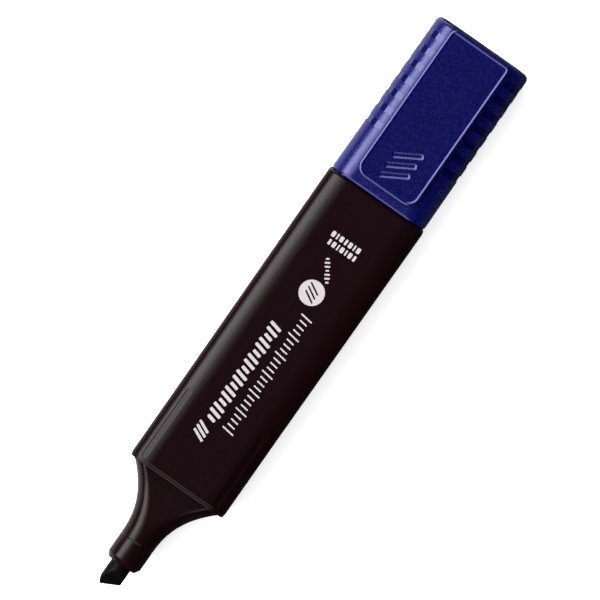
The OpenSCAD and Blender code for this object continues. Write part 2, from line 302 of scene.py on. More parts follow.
def reshape(piece, ring_verts, old, new):
    """Moves the newest ring's four quarters from one section to another."""
    for side in (1, -1):
        for face in (1, -1):
            quarter = [v for v in ring_verts if v.co.y * side > 0 and (v.co.z - MID_Z) * face > 0]
            for v in ring_verts:
                v.select = False
            for v in quarter:
                v.select_set(True)
            bmesh.update_edit_mesh(piece.data)
            centre = (new.x, side * old.cy, MID_Z + face * old.cz)
            if (old.ry, old.rz) != (new.ry, new.rz):
                bpy.ops.transform.resize(value=(1, new.ry / old.ry, new.rz / old.rz),
                                         center_override=centre)
            if (old.cy, old.cz) != (new.cy, new.cz):
                bpy.ops.transform.translate(
                    value=(0, side * (new.cy - old.cy), face * (new.cz - old.cz)))
    for v in ring_verts:
        v.select_set(True)
    bmesh.update_edit_mesh(piece.data)


def extrude_rings(name, rings, sides=96):
    """Extrudes a circle from ring to ring. If the last ring is the first, the ends are joined;
    if not, both ends are closed with a face."""
    deselect_objects()
    first = rings[0]
    bpy.ops.mesh.primitive_circle_add(vertices=sides, radius=first.rz, fill_type="NOTHING",
                                      location=(first.x, 0, MID_Z), rotation=(0, QUARTER, 0))
    piece = name_piece(name)
    bpy.ops.object.mode_set(mode="EDIT")
    bpy.ops.mesh.select_mode(type="VERT")
    bpy.ops.mesh.select_all(action="SELECT")
    bpy.ops.transform.rotate(value=math.pi / sides, orient_axis="X",
                             center_override=(first.x, 0, MID_Z))
    mesh = bmesh.from_edit_mesh(piece.data)
    reshape(piece, list(mesh.verts), round_ring(first.x, first.rz), first)
    for old, new in zip(rings, rings[1:]):
        bpy.ops.mesh.extrude_region_move(TRANSFORM_OT_translate={"value": (new.x - old.x, 0, 0)})
        mesh = bmesh.from_edit_mesh(piece.data)
        reshape(piece, [v for v in mesh.verts if v.select], old, new)
    if rings[-1] == first:
        bpy.ops.mesh.select_all(action="SELECT")
        bpy.ops.mesh.remove_doubles(threshold=0.001 * MM)
    else:
        bpy.ops.mesh.edge_face_add()
        pick(piece, "edges", lambda e: e.is_boundary)
        bpy.ops.mesh.edge_face_add()
    bpy.ops.mesh.select_all(action="SELECT")
    bpy.ops.mesh.normals_make_consistent(inside=False)
    close_edit()
    return piece


def combine(piece, other, operation="DIFFERENCE"):
    """Cuts one object by another or joins them into one solid, and removes the other."""
    select_only(piece)
    step = piece.modifiers.new(operation.title(), "BOOLEAN")
    step.object = other
    step.operation = operation
    step.solver = "EXACT"
    bpy.ops.object.modifier_apply(modifier=step.name)
    bpy.data.objects.remove(other, do_unlink=True)


def join(name, pieces):
    """Joins objects into one, as separate islands."""
    select_only(pieces[0])
    for piece in pieces[1:]:
        piece.select_set(True)
    bpy.ops.object.join()
    return name_piece(name)


def soften(piece, width, segments=2, angle=math.radians(35)):
    """Rounds the sharp edges with a bevel modifier and applies it."""
    select_only(piece)
    step = piece.modifiers.new("Soft edges", "BEVEL")
    step.width = width
    step.segments = segments
    step.limit_method = "ANGLE"
    step.angle_limit = angle
    bpy.ops.object.modifier_apply(modifier=step.name)


def finish_piece(piece, body, material, slot, *replaced, crisp=14):
    """Shades a piece smooth up to edges that turn by more than crisp degrees, gives it its
    finish and ties it to its body."""
    select_only(piece)
    bpy.ops.object.shade_smooth_by_angle(angle=math.radians(crisp))
    step = piece.modifiers.new("Even shading", "WEIGHTED_NORMAL")
    step.keep_sharp = True
    bpy.ops.object.modifier_apply(modifier=step.name)
    piece.data.materials.clear()
    piece.data.materials.append(material)
    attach(piece, body)
    if replaced:
        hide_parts(*replaced)
    return piece


# ---------------------------------------------------------------- materials


def fill_inputs(tree, node, values):
    """Sets or links a node's inputs by name or number. A Mix node's are numbers: its factor is
    input 0, its two colours are inputs 6 and 7, and its colour output is output 2."""
    for key, value in values.items():
        if isinstance(value, bpy.types.NodeSocket):
            tree.links.new(value, node.inputs[key])
        else:
            node.inputs[key].default_value = value


def add_node(tree, kind, values=None, **settings):
    """Adds a node with its properties and its inputs."""
    node = tree.nodes.new(kind)
    for key, value in settings.items():
        setattr(node, key, value)
    fill_inputs(tree, node, values or {})
    return node


def new_material(name):
    """An empty material, with its tree, its Principled shader and the object's coordinates."""
    material = bpy.data.materials.get(name)
    if material:
        bpy.data.materials.remove(material)
    material = bpy.data.materials.new(name)
    material.use_nodes = True
    tree = material.node_tree
    tree.nodes.clear()
    shader = add_node(tree, "ShaderNodeBsdfPrincipled")
    add_node(tree, "ShaderNodeOutputMaterial", {"Surface": shader.outputs["BSDF"]})
    place = add_node(tree, "ShaderNodeTexCoord").outputs["Object"]
    return material, tree, shader, place


def scaled(tint, share):
    """A colour made darker or lighter by a share."""
    return [min(1.0, part * share) for part in tint[:3]] + [1.0]


def moulded_polypropylene(settings):
    """Satin polypropylene from a polished mould: near-black, with a soft sheen, a faint
    orange-peel in the reflections and hairline rub marks along the barrel."""
    material, tree, shader, place = new_material("moulded_polypropylene")
    cloud = add_node(tree, "ShaderNodeTexNoise",
                     {"Vector": place, "Scale": 1 / (9 * MM), "Detail": 3.0})
    tone = add_node(tree, "ShaderNodeMix", {0: cloud.outputs["Fac"], 6: scaled(settings.tint, 0.86),
                                            7: scaled(settings.tint, 1.14)}, data_type="RGBA")
    peel = add_node(tree, "ShaderNodeTexNoise",
                    {"Vector": place, "Scale": 1 / (0.6 * MM), "Detail": 2.0})
    stretch = add_node(tree, "ShaderNodeMapping", {"Vector": place, "Scale": (0.03, 1.0, 1.0)})
    rubs = add_node(tree, "ShaderNodeTexNoise",
                    {"Vector": stretch.outputs["Vector"], "Scale": 1 / (0.25 * MM), "Detail": 4.0})
    rough = add_node(tree, "ShaderNodeMapRange",
                     {"Value": rubs.outputs["Fac"], "From Min": 0.35, "From Max": 0.75,
                      "To Min": 0.21, "To Max": 0.27})
    bump = add_node(tree, "ShaderNodeBump",
                    {"Height": peel.outputs["Fac"], "Strength": 0.05, "Distance": 0.02 * MM})
    fill_inputs(tree, shader, {"Base Color": tone.outputs[2], "Roughness": rough.outputs["Result"],
                               "Normal": bump.outputs["Normal"], "IOR": 1.49, "Specular IOR Level": 0.24})
    return material


def spark_grained_polypropylene(settings, name, grain_depth, roughness, level=1.0, share=1.0):
    """Blue polypropylene from a spark-eroded mould: a fine, even grain that sparkles where it faces the
    light, and lighter spots in its colour that are partly the grain's own tone and partly painted sparkle.
    Real grain is near 0.1 mm; it is drawn at 0.42 mm so that it shows. A lower level gives a matter gloss,
    and a lower share paints the blue darker, as painted shade on a sunk field."""
    material, tree, shader, place = new_material(name)
    grain = add_node(tree, "ShaderNodeTexNoise",
                     {"Vector": place, "Scale": 1 / (0.42 * MM), "Detail": 1.0, "Roughness": 0.6})
    # Lighter spots in the colour: partly the grain's own tone, partly painted sparkle that shows under any
    # light.
    grain_tone_and_painted_sparkle = add_node(tree, "ShaderNodeMapRange",
                      {"Value": grain.outputs["Fac"], "From Min": 0.5, "From Max": 0.72})
    tone = add_node(tree, "ShaderNodeMix",
                    {0: grain_tone_and_painted_sparkle.outputs["Result"], 6: scaled(settings.tint, 0.88 * share),
                     7: scaled(settings.tint, 1.8 * share)}, data_type="RGBA")
    bump = add_node(tree, "ShaderNodeBump",
                    {"Height": grain.outputs["Fac"], "Strength": 1.0, "Distance": grain_depth})
    rough = add_node(tree, "ShaderNodeMapRange",
                     {"Value": grain.outputs["Fac"], "From Min": 0.3, "From Max": 0.7,
                      "To Min": roughness - 0.05, "To Max": roughness + 0.05})
    fill_inputs(tree, shader, {"Base Color": tone.outputs[2], "Roughness": rough.outputs["Result"],
                               "Normal": bump.outputs["Normal"], "IOR": 1.5,
                               "Specular IOR Level": level, "Specular Tint": settings.sheen})
    return material


def clouded_material(name, dark, light, size, detail, values, relief=None, along=1.0):
    """A material whose tone drifts between two colours in clouds of one size. A low value for
    along draws them out to strands along the pen, and relief is their bump's strength and depth."""
    material, tree, shader, place = new_material(name)
    turned = add_node(tree, "ShaderNodeMapping", {"Vector": place, "Scale": (along, 1.0, 1.0)})
    clouds = add_node(tree, "ShaderNodeTexNoise",
                      {"Vector": turned.outputs["Vector"], "Scale": 1 / size, "Detail": detail})
    tone = add_node(tree, "ShaderNodeMix", {0: clouds.outputs["Fac"], 6: dark, 7: light}, data_type="RGBA")
    if relief:
        bump = add_node(tree, "ShaderNodeBump", {"Height": clouds.outputs["Fac"], "Strength": relief[0],
                                                 "Distance": relief[1]})
        tree.links.new(bump.outputs["Normal"], shader.inputs["Normal"])
    if "Emission Strength" in values:
        tree.links.new(tone.outputs[2], shader.inputs["Emission Color"])
    fill_inputs(tree, shader, {"Base Color": tone.outputs[2], **values})
    return material


def polished_polypropylene(settings):
    """The same blue polypropylene where the mould is polished: clear, flat reflections with a faint
    orange-peel, and no grain. Its blue is painted darker than the grained blue, as painted shade on the
    recesses' floors."""
    # Its colour, darker than the grained blue, is painted shade in the recesses; the low roughness is the
    # real polish.
    return clouded_material("polished_polypropylene", scaled(settings.tint, 0.6),
                            scaled(settings.tint, 0.8), 2 * MM, 2.0,
                            {"Roughness": 0.13, "IOR": 1.5, "Specular IOR Level": 1.0,
                             "Specular Tint": settings.sheen}, (0.1, 0.02 * MM))


def inked_felt(settings):
    """Pressed polyester felt, wet with ink: dark, with fibres that catch the light along it."""
    return clouded_material("inked_felt", scaled(settings.tint, 0.6), scaled(settings.tint, 2.2),
                            0.14 * MM, 5.0, {"Roughness": 0.45, "IOR": 1.4, "Specular IOR Level": 0.12},
                            (0.7, 0.06 * MM), 0.25)


def soft_polyethylene(tint):
    """Injection-moulded polyethylene of the cap's seal: waxy, softer and a little lighter."""
    return clouded_material("soft_polyethylene", scaled(tint, 1.1), scaled(tint, 1.6), 2.5 * MM, 4.0,
                            {"Roughness": 0.5, "IOR": 1.51}, (0.1, 0.1 * MM))


def bonded_fibre():
    """Bonded polyester fibre of the reservoir: matt strands that run along it, soaked in ink."""
    return clouded_material("bonded_fibre", linear("#0e0e14"), linear("#3a3a46"), 0.3 * MM, 5.0,
                            {"Roughness": 0.85}, (0.8, 0.1 * MM), 0.06)


def oriented_film():
    """Oriented polypropylene film round the core: clear and glossy, with faint wrap lines."""
    material, tree, shader, place = new_material("oriented_film")
    wraps = add_node(tree, "ShaderNodeTexWave",
                     {"Vector": place, "Scale": 1 / (20 * MM), "Distortion": 2.0})
    rough = add_node(tree, "ShaderNodeMapRange",
                     {"Value": wraps.outputs["Fac"], "To Min": 0.06, "To Max": 0.16})
    fill_inputs(tree, shader, {"Base Color": linear("#e4e8ee"), "Roughness": rough.outputs["Result"],
                               "Transmission Weight": 0.85, "IOR": 1.49})
    return material


def screen_ink(settings):
    """Screen-printed ink: a thin matt film with a slightly uneven cover."""
    return clouded_material("screen_ink", scaled(settings.tint, 0.82), settings.tint, 0.5 * MM, 4.0,
                            {"Roughness": 0.6})


def studio_board(settings):
    """Opal studio board, lit faintly from below so that shadows stay light, with a hint of
    unevenness in its tone, a third of a metre across."""
    return clouded_material("studio_board", scaled(settings.tint, 0.98), settings.tint, 1 / 3, 2.0,
                            {"Roughness": 0.9, "Emission Strength": 0.62, "Specular IOR Level": 0.1})


def finish_of(name, make, *settings):
    """A material that several pieces share: made once, then found by its name."""
    return bpy.data.materials.get(name) or make(*settings)


# ---------------------------------------------------------------- pieces


def finish_barrel_piece(piece, context, node):
    """Finishes a piece of the barrel's body in the black polypropylene that they share."""
    material = finish_of("moulded_polypropylene", moulded_polypropylene, context.scene.highlighter.barrel)
    finish_piece(piece, "barrel", material, "barrel_plastic", node)


def grip_cutter(settings, side):
    """The tool that cuts the oval recess in one front shoulder, half of the way across it."""
    across = settings.shoulder_across
    down = settings.shoulder_down
    half_width = BARREL[1].y - settings.taper
    share_across = 0.505
    rim_gap = 1.2 * MM
    turn = math.acos(share_across)
    y = half_width - across + across * share_across
    z = BARREL[1].z - down + down * math.sin(turn)
    tilt = math.atan2(down * math.cos(turn), across * math.sin(turn))
    start = BARREL[0].x + rim_gap
    radius = settings.grip_width / 2
    deselect_objects()
    bpy.ops.mesh.primitive_cylinder_add(vertices=48, radius=radius, depth=2 * MM,
                                        location=(start + radius, 0, MM - settings.grip_depth))
    cutter = name_piece("grip_cutter")
    edit(cutter)
    pick(cutter, "verts", lambda v: v.co.x > start + radius - 0.001 * MM)
    bpy.ops.transform.translate(value=(settings.grip_length - 2 * radius, 0, 0))
    close_edit()
    cutter.rotation_euler = (-side * tilt, 0, 0)
    cutter.location = (0, side * y, z)
    select_only(cutter)
    bpy.ops.object.transform_apply(location=True, rotation=True, scale=True)
    return cutter


class HIGHLIGHTER_OT_barrel(bpy.types.Operator):
    """Extrudes the barrel from rim to rim and back through its bore, and cuts the grip recesses"""
    bl_idname = "highlighter.barrel"
    bl_label = "Barrel"

    def execute(self, context):
        settings = context.scene.highlighter.barrel
        low, high = BARREL
        front, rear = (section_ring((low.x + high.x) / 2, high.y + side * settings.taper, high.z - MID_Z,
                                    settings.shoulder_across, settings.shoulder_down) for side in (-1, 1))
        bore = section_ring(low.x, high.y - settings.wall, high.z - MID_Z - settings.wall,
                            settings.bore_corner, settings.bore_corner)
        step = settings.rim_step
        edge = settings.front_edge
        behind_grip = 1.6 * MM
        band = inset_ring(front, front.x, step)
        outside = (
            rounded_edge(inset_ring(band, band.x, step), low.x, edge)
            + [inset_ring(band, low.x + edge + 2.2 * step, 0),
               inset_ring(band, low.x + settings.rim_band, 0),
               inset_ring(front, low.x + settings.rim_band + 2.2 * step, 0),
               inset_ring(front, low.x + behind_grip + settings.grip_length, 0)]
            + rounded_edge(rear, high.x, settings.rear_edge)[::-1]
        )
        rings = [bore, *outside, bore._replace(x=high.x), bore]
        piece = extrude_rings("barrel", rings)
        for side in (1, -1):
            combine(piece, grip_cutter(settings, side))
        soften(piece, 0.08 * MM, angle=math.radians(40))
        finish_barrel_piece(piece, context, "barrel_shell")
        return {"FINISHED"}


# Depth of the ring seam as a share of its slope's length, and the play of an inner fit
SEAM_DROP = 0.45
PLAY = 0.05 * MM


class HIGHLIGHTER_OT_nose(bpy.types.Operator):
    """Extrudes the flared nose from the neck to the barrel, with its tongue and bore"""
    bl_idname = "highlighter.nose"
    bl_label = "Nose"

    def execute(self, context):
        settings = context.scene.highlighter.nose
        barrel = context.scene.highlighter.barrel
        neck_r = HOLDER[1].y
        seam_x = NOSE[0].x
        base_x = BARREL[0].x
        steps = 40
        seam_edge = settings.seam
        flare = [round_ring(seam_x, neck_r - SEAM_DROP * seam_edge)]
        for i in range(steps + 1):
            t = i / steps
            half_width = neck_r + (settings.base_width / 2 - neck_r) * t ** settings.flare
            half_depth = neck_r + (settings.base_depth / 2 - neck_r) * t ** 2
            corner = neck_r + (settings.base_corner - neck_r) * t
            x = max(seam_x + (base_x - seam_x) * t, seam_x + seam_edge)
            flare.append(section_ring(x, half_width, half_depth, corner, corner))
        tongue = section_ring(base_x, NOSE[1].y, NOSE[1].z - MID_Z, barrel.bore_corner,
                              barrel.bore_corner)
        hollow = section_ring(NOSE[1].x, 9.25 * MM, 4.4 * MM, 2 * MM, 2 * MM)
        hollow_end = base_x - 1.15 * MM
        spigot_end = HOLDER[1].x + 2 * PLAY
        socket_r = settings.spigot + PLAY
        rings = [
            *flare,
            tongue,
            tongue._replace(x=NOSE[1].x),
            hollow,
            hollow._replace(x=hollow_end),
            round_ring(hollow_end, settings.bore),
            round_ring(spigot_end, settings.bore),
            round_ring(spigot_end, socket_r),
            round_ring(seam_x, socket_r),
            flare[0],
        ]
        piece = extrude_rings("nose", rings)
        finish_barrel_piece(piece, context, "nose_section")
        return {"FINISHED"}


class HIGHLIGHTER_OT_nib_holder(bpy.types.Operator):
    """Extrudes the neck that holds the nib, with its rounded mouth and its spigot"""
    bl_idname = "highlighter.nib_holder"
    bl_label = "Nib holder"

    def execute(self, context):
        settings = context.scene.highlighter.nose
        neck_r = HOLDER[1].y
        bore_r = NIB[1].y + PLAY
        spigot_r = settings.spigot
        seam_x = NOSE[0].x
        seam_edge = settings.seam
        brim = 0.1 * MM
        mouth = [
            round_ring(HOLDER[0].x, neck_r - settings.bevel - brim),
            round_ring(HOLDER[0].x + brim, neck_r - settings.bevel),
            round_ring(HOLDER[0].x + settings.bevel_length - brim, neck_r - brim / 2),
            round_ring(HOLDER[0].x + settings.bevel_length, neck_r),
        ]
        bore = round_ring(HOLDER[0].x, bore_r)
        rings = [
            bore,
            *mouth,
            round_ring(seam_x - seam_edge, neck_r),
            round_ring(seam_x, neck_r - SEAM_DROP * seam_edge),
            round_ring(seam_x, spigot_r),
            round_ring(HOLDER[1].x, spigot_r),
            round_ring(HOLDER[1].x, bore_r),
            bore,
        ]
        piece = extrude_rings("nib_holder_neck", rings)
        finish_barrel_piece(piece, context, "nib_holder")
        return {"FINISHED"}


# The nib's point stands this far to one side, in millimetres. The cuts behind it take off the long
# corner: each has its angle to the pen in degrees, and its distances back from the point and aside.
NIB_POINT = 1.66
LONG_CORNER = ((24, 1.0, 0.55), (48, 0.25, 0.1))


class HIGHLIGHTER_OT_nib(bpy.types.Operator):
    """Extrudes the felt rod and cuts its bevels, its slanted edge and its long corner"""
    bl_idname = "highlighter.nib"
    bl_label = "Nib"

    def execute(self, context):
        settings = context.scene.highlighter.nib
        tip_x = NIB[0].x - settings.point
        radius = NIB[1].y
        tip = Vector((tip_x, NIB_POINT * MM, MID_Z))
        chamfer = 0.4 * MM
        rod = [round_ring(tip_x - MM, radius), round_ring(tip_x + 8 * MM, radius),
               round_ring(NIB[1].x - chamfer, radius), round_ring(NIB[1].x, radius - chamfer)]
        piece = extrude_rings("felt_nib", rod)
        slant, wedge = settings.slant, settings.wedge
        inward = Vector((math.cos(slant), math.sin(slant), 0))
        edit(piece)
        cuts = [(tip, -inward)]
        for face in (1, -1):
            normal = Vector((0, 0, face)) * math.cos(wedge) - inward * math.sin(wedge)
            cuts.append((tip + Vector((0, 0, face * settings.edge / 2)), normal))
        for lean, back, aside in LONG_CORNER:
            turn = math.radians(lean)
            corner = tip + Vector((back * MM, aside * MM, 0))
            cuts.append((corner, Vector((-math.sin(turn), math.cos(turn), 0))))
        for place, normal in cuts:
            bpy.ops.mesh.select_all(action="SELECT")
            bpy.ops.mesh.bisect(plane_co=place, plane_no=normal, use_fill=True, clear_outer=True)
        bpy.ops.mesh.select_all(action="SELECT")
        bpy.ops.mesh.normals_make_consistent(inside=False)
        close_edit()
        soften(piece, 0.12 * MM, segments=3)
        finish_piece(piece, "barrel", inked_felt(settings), "nib_felt", "chisel_nib", crisp=25)
        return {"FINISHED"}


class HIGHLIGHTER_OT_reservoir(bpy.types.Operator):
    """Gives the fibre core and its film their finishes; their CAD shapes stay"""
    bl_idname = "highlighter.reservoir"
    bl_label = "Reservoir"

    def execute(self, context):
        for node, material in (("ink_reservoir", bonded_fibre()), ("reservoir_film", oriented_film())):
            piece = bpy.data.objects[node]
            piece.data.materials.clear()
            piece.data.materials.append(material)
        return {"FINISHED"}


class HIGHLIGHTER_OT_rear_plug(bpy.types.Operator):
    """Extrudes the plug that closes the barrel, with its stub and its two fins"""
    bl_idname = "highlighter.rear_plug"
    bl_label = "Rear plug"

    def execute(self, context):
        barrel = context.scene.highlighter.barrel
        low, high = PLUG
        wall = 1.2 * MM
        flange_x = BARREL[1].x - 6 * MM
        fin_y, fin_half_width, fin_half_height = 6 * MM, 0.6 * MM, 4.5 * MM
        stub_corner = 2.6 * MM
        stub = section_ring(BARREL[1].x, CAP[1].y - 1.35 * MM, 5.6 * MM, stub_corner, stub_corner)
        flange = section_ring(flange_x, high.y, high.z - MID_Z, barrel.bore_corner, barrel.bore_corner)
        hollow = section_ring(high.x - wall, stub.cy + stub.ry - wall, stub.cz + stub.rz - wall,
                              stub.ry - wall, stub.rz - wall)
        rings = [
            hollow,
            hollow._replace(x=flange_x),
            flange,
            flange._replace(x=BARREL[1].x),
            stub,
            *rounded_edge(stub, high.x, 0.5 * MM)[::-1],
        ]
        piece = extrude_rings("end_plug", rings)
        for side in (1, -1):
            fin = add_box("fin", (low.x, side * fin_y - fin_half_width, MID_Z - fin_half_height),
                          (high.x - wall / 2, side * fin_y + fin_half_width, MID_Z + fin_half_height))
            combine(piece, fin, "UNION")
        finish_barrel_piece(piece, context, "rear_plug")
        return {"FINISHED"}


# Knees of the recesses' floor, in millimetres from the pen's middle: a gentle facet, then a steep one
KNEES = ((8.05, 7.3), (10.15, 6.18), (11.35, 4.98), (12.4, 2.73))


def recess_tool(settings):
    """All the blocks that cut the side recesses, hollowed by the shape of the recesses' floor."""
    blocks = []
    inner_y = CLIP[1].y + 0.55 * MM
    outer_y, top_z = 14 * MM, 20 * MM
    for side in (1, -1):
        for i in range(settings.recesses):
            x = CAP[0].x + settings.recess_start + i * settings.pitch
            near, far = sorted((side * inner_y, side * outer_y))
            blocks.append(add_box("block", (x - settings.recess_width / 2, near, -MM),
                                  (x + settings.recess_width / 2, far, top_z)))
    tool = join("recess_tool", blocks)
    floor = add_box("floor", (CAP[0].x, -KNEES[-1][0] * MM, MID_Z - KNEES[0][1] * MM),
                    (CAP[1].x, KNEES[-1][0] * MM, MID_Z + KNEES[0][1] * MM))
    edit(floor, "EDGE")
    pick(floor, "edges", lambda e: span(e).x > 10 * MM)
    bpy.ops.mesh.bevel(offset=3.0 * MM, segments=len(KNEES) - 1, affect="EDGES")
    move_knees(floor)
    close_edit()
    combine(tool, floor)
    return tool


def move_knees(floor):
    """Moves the bevels' corners to the knees of the recesses' floor."""
    mesh = bmesh.from_edit_mesh(floor.data)
    heights = sorted({round((v.co.z - MID_Z) / MM, 3) for v in mesh.verts if v.co.z > MID_Z}, reverse=True)
    if len(heights) != len(KNEES):
        raise RuntimeError("the recesses' floor has the wrong number of knees")
    for height, (knee_y, knee_z) in zip(heights, KNEES):
        for side in (1, -1):
            for face in (1, -1):
                found = pick(floor, "verts", lambda v: v.co.y * side > 0 and
                             abs(face * (v.co.z - MID_Z) - height * MM) < 0.01 * MM)
                y, z = abs(found[0].co.y), abs(found[0].co.z - MID_Z)
                bpy.ops.transform.translate(value=(0, side * (knee_y * MM - y), face * (knee_z * MM - z)))


class HIGHLIGHTER_OT_cap(bpy.types.Operator):
    """Extrudes the cap from its cavity round the rim to its closed end, and cuts the ribs"""
    bl_idname = "highlighter.cap"
    bl_label = "Cap"

    def execute(self, context):
        settings = context.scene.highlighter.cap
        low, high = CAP
        half_depth = high.z - MID_Z
        at_rim, at_end = (section_ring((low.x + high.x) / 2, high.y + side, half_depth,
                                       settings.shoulder_across, settings.shoulder_down)
                          for side in (settings.flare, -2 * settings.flare))
        lead_in = 0.2 * MM
        cavity_corner = 2.68 * MM
        cavity = section_ring(high.x - settings.end_wall, high.y - settings.wall, 5.68 * MM,
                              cavity_corner, cavity_corner)
        bead = settings.rim_bead
        rings = [
            cavity,
            cavity._replace(x=low.x + lead_in),
            inset_ring(cavity, low.x, -lead_in),
            *rounded_edge(inset_ring(at_rim, at_rim.x, bead), low.x, settings.rim_edge),
            inset_ring(at_rim, low.x + 2.2 * bead + settings.rim_edge, 0),
            *rounded_edge(at_end, high.x, settings.end_edge)[::-1],
        ]
        piece = extrude_rings("cap", rings, 128)
        combine(piece, recess_tool(settings))
        channel_z = CLIP[0].z - PLAY
        gap = 2 * PLAY
        channel = add_box("channel", (CLIP[0].x + 1.5 * MM, CLIP[0].y - gap, channel_z),
                          (CLIP[1].x + gap, CLIP[1].y + gap, high.z + 5 * MM))
        combine(piece, channel)
        self.soften_ribs(piece, settings)
        finish_piece(piece, "cap", spark_grained_polypropylene(settings, "spark_grained_polypropylene",
                                                               0.02 * MM, 0.27),
                     "cap_plastic", "cap_shell")
        self.polish_and_shade_recesses(piece, settings)
        return {"FINISHED"}

    def soften_ribs(self, piece, settings):
        """Rounds the edges of the recesses with an edit-mode bevel."""
        first = CAP[0].x + settings.recess_start - settings.pitch / 2
        last = first + settings.recesses * settings.pitch
        sharp = math.radians(35)
        bevel_edges(piece, lambda e: e.is_manifold and e.calc_face_angle() > sharp and
                    first < middle(e).x < last and abs(middle(e).y) > CLIP[1].y + 0.2 * MM,
                    settings.softening, 2, clamp_overlap=True)

    def polish_and_shade_recesses(self, piece, settings):
        """Gives the recesses' floors the polished finish, whose blue is painted darker as painted shade."""
        piece.data.materials.append(finish_of("polished_polypropylene", polished_polypropylene, settings))
        reach = settings.recess_width / 2 + 0.02 * MM
        centres = [CAP[0].x + settings.recess_start + i * settings.pitch
                   for i in range(settings.recesses)]
        edit(piece, "FACE")
        pick(piece, "faces", lambda f: abs(middle(f).y) > CLIP[1].y + 0.2 * MM and
             abs(f.normal.x) < 0.3 and
             any(all(abs(v.co.x - x) < reach for v in f.verts) for x in centres))
        piece.active_material_index = 1
        bpy.ops.object.material_slot_assign()
        close_edit()


class HIGHLIGHTER_OT_cap_seal(bpy.types.Operator):
    """Extrudes the cup inside the cap that closes on the neck, with its lip and its flange"""
    bl_idname = "highlighter.cap_seal"
    bl_label = "Cap seal"

    def execute(self, context):
        cap = context.scene.highlighter.cap
        low, high = SEAL
        outer_r = 5.5 * MM
        bore_r = 4.45 * MM
        lip_r = HOLDER[1].y + 0.03 * MM
        flange_corner = 2.6 * MM
        flange_x = high.x - 1.2 * MM
        flange = section_ring(flange_x, high.y, high.z - MID_Z, flange_corner, flange_corner)
        rings = [
            round_ring(flange_x, bore_r),
            round_ring(low.x + 1.5 * MM, bore_r),
            round_ring(low.x + 1.3 * MM, lip_r),
            round_ring(low.x + 0.5 * MM, lip_r),
            round_ring(low.x, lip_r + 0.35 * MM),
            *rounded_edge(round_ring(flange_x, outer_r), low.x, 0.25 * MM),
            round_ring(flange_x, outer_r),
            flange,
            flange._replace(x=high.x),
        ]
        piece = extrude_rings("seal_cup", rings)
        finish_piece(piece, "cap", soft_polyethylene(cap.tint), "seal_plastic", "cap_seal")
        return {"FINISHED"}


def stroke(name, middle_point, size, slant, low_z, high_z, slope=0.0):
    """A round-cornered bar that stands on the front face, turned in its plane. A slope draws
    its lower face in."""
    deselect_objects()
    bpy.ops.mesh.primitive_cube_add(size=1, location=(0, 0, (low_z + high_z) / 2),
                                    scale=(size[0], size[1], high_z - low_z))
    bar = name_piece(name)
    edit(bar, "EDGE")
    pick(bar, "edges", lambda e: span(e).z > 0.5 * (high_z - low_z))
    bpy.ops.mesh.bevel(offset=0.3 * min(size), segments=4, affect="EDGES")
    if slope:
        pick(bar, "verts", lambda v: v.co.z < (low_z + high_z) / 2)
        bpy.ops.transform.resize(value=(1 - 2 * slope / size[0], 1 - 2 * slope / size[1], 1),
                                 center_override=(0, 0, low_z))
    close_edit()
    select_only(bar)
    bar.rotation_euler = (0, 0, slant)
    bar.location = (middle_point[0], middle_point[1], 0)
    bpy.ops.object.transform_apply(location=True, rotation=True, scale=True)
    return bar


class HIGHLIGHTER_OT_clip(bpy.types.Operator):
    """Shapes the clip's plate with its lip and sunk field, its root, its foot and three strokes"""
    bl_idname = "highlighter.clip"
    bl_label = "Clip"

    def execute(self, context):
        settings = context.scene.highlighter.clip
        cap = context.scene.highlighter.cap
        low, high = CLIP
        plate_z = high.z - settings.thickness
        slope = 0.44 * settings.lip
        rise = settings.field_depth
        piece = add_box("clip_plate", (low.x, low.y, plate_z), (high.x, high.y, high.z - rise))
        root_corner = 1.3 * MM
        for at_free_end, radius, segments in ((True, settings.corner, 16), (False, root_corner, 10)):
            bevel_edges(piece, lambda e: span(e).z > settings.thickness / 2 and
                        (middle(e).x < 0.5 * (low.x + high.x)) == at_free_end, radius, segments)
        edit(piece, "FACE")
        pick(piece, "faces", lambda f: f.normal.z > 0.9)
        bpy.ops.mesh.inset(thickness=slope, depth=rise)
        bpy.ops.mesh.inset(thickness=settings.lip - 2 * slope)
        bpy.ops.mesh.inset(thickness=slope, depth=-settings.field_depth)
        close_edit()
        field_z = high.z - settings.field_depth
        for i in (-1, 0, 1):
            place = (low.x + settings.mark_place + i * settings.mark_pitch, 0)
            cutter = stroke("stroke_cutter", place, (settings.mark_width, settings.mark_length),
                            math.radians(30), field_z - settings.mark_depth, field_z + 0.02 * MM,
                            settings.mark_slope)
            combine(piece, cutter)
        root = add_box("root", (high.x - settings.root, low.y, low.z), (high.x, high.y, plate_z + 0.2 * MM))
        combine(piece, root, "UNION")
        foot = add_box("foot", (low.x + 4 * MM, low.y + MM, low.z + 0.15 * MM),
                       (low.x + 5.5 * MM, high.y - MM, plate_z + 0.2 * MM))
        bevel_edges(foot, lambda e: span(e).y > MM and middle(e).z < low.z + MM, 0.5 * MM, 5)
        combine(piece, foot, "UNION")
        soften(piece, 0.06 * MM)
        finish_piece(piece, "clip", spark_grained_polypropylene(cap, "fine_grained_polypropylene",
                                                                0.014 * MM, 0.24),
                     "clip_plastic", "pocket_clip")
        self.matt_field_with_painted_shade(piece, settings, cap)
        return {"FINISHED"}

    def matt_field_with_painted_shade(self, piece, settings, cap):
        """Gives the floors of the field and the strokes the matter finish, whose blue is painted darker, as
        painted shade on the sunk field.
        """
        # A share of 0.74 paints the field's blue darker than the lip's: painted shade. The lower level of
        # 0.38 is a real, matter gloss.
        piece.data.materials.append(spark_grained_polypropylene(cap, "matt_grained_polypropylene",
                                                                0.014 * MM, 0.27, 0.38, 0.74))
        floor_z = CLIP[1].z - settings.field_depth + 0.01 * MM
        edit(piece, "FACE")
        pick(piece, "faces", lambda f: f.normal.z > 0.99 and middle(f).z < floor_z and
             abs(middle(f).y) < CLIP[1].y - settings.lip)
        piece.active_material_index = 1
        bpy.ops.object.material_slot_assign()
        close_edit()


